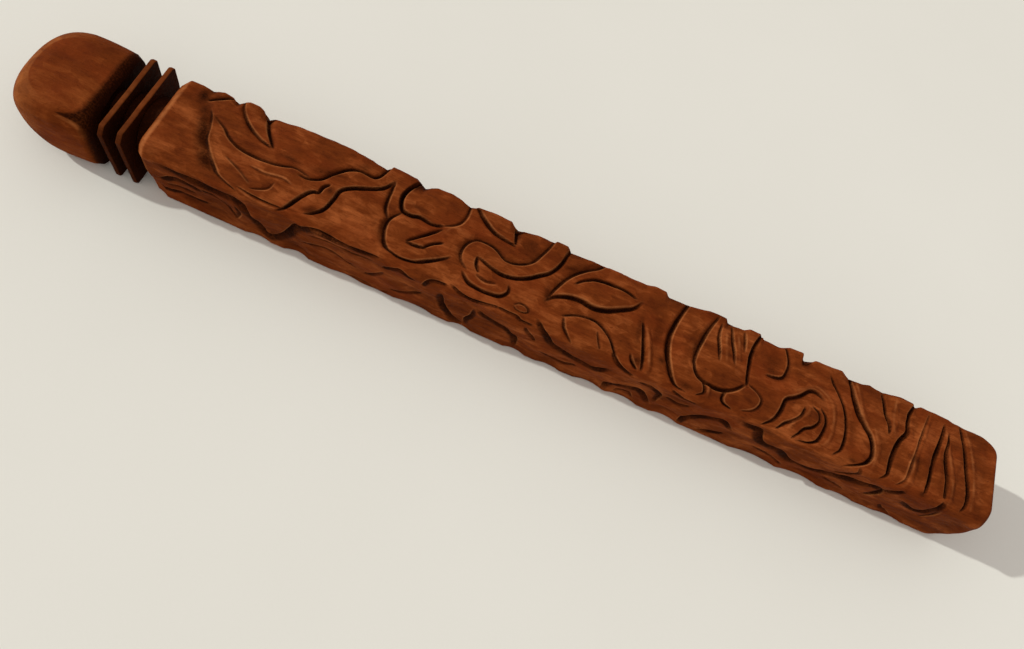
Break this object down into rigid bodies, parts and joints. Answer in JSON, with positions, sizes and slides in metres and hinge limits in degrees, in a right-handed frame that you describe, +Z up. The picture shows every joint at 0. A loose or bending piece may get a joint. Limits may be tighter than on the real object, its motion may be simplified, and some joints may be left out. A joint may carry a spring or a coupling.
{
  "type": "carved hardwood stick",
  "caption": "Straight square-section hardwood stick, carved on three faces, with a domed head, thin square collars and a rounded butt.",
  "frame": {"origin": "on the flat underside, below the middle of the whole stick", "axes": "+X from the domed head to the plain butt, +Y to the back, +Z up from the flat underside"},
  "size_m": [0.3896, 0.0414, 0.029],
  "materials": {
    "shaft_wood": "oiled reddish hardwood, satin, dark in the cuts",
    "collar_wood": "oiled reddish hardwood, darker on the cut faces",
    "head_wood": "oiled reddish hardwood, sanded smooth, satin"
  },
  "bodies": {
    "root": {"shaft": "shaft_wood", "collar_rear": "collar_wood", "collar_front": "collar_wood", "head": "head_wood"}
  },
  "joints": []
}
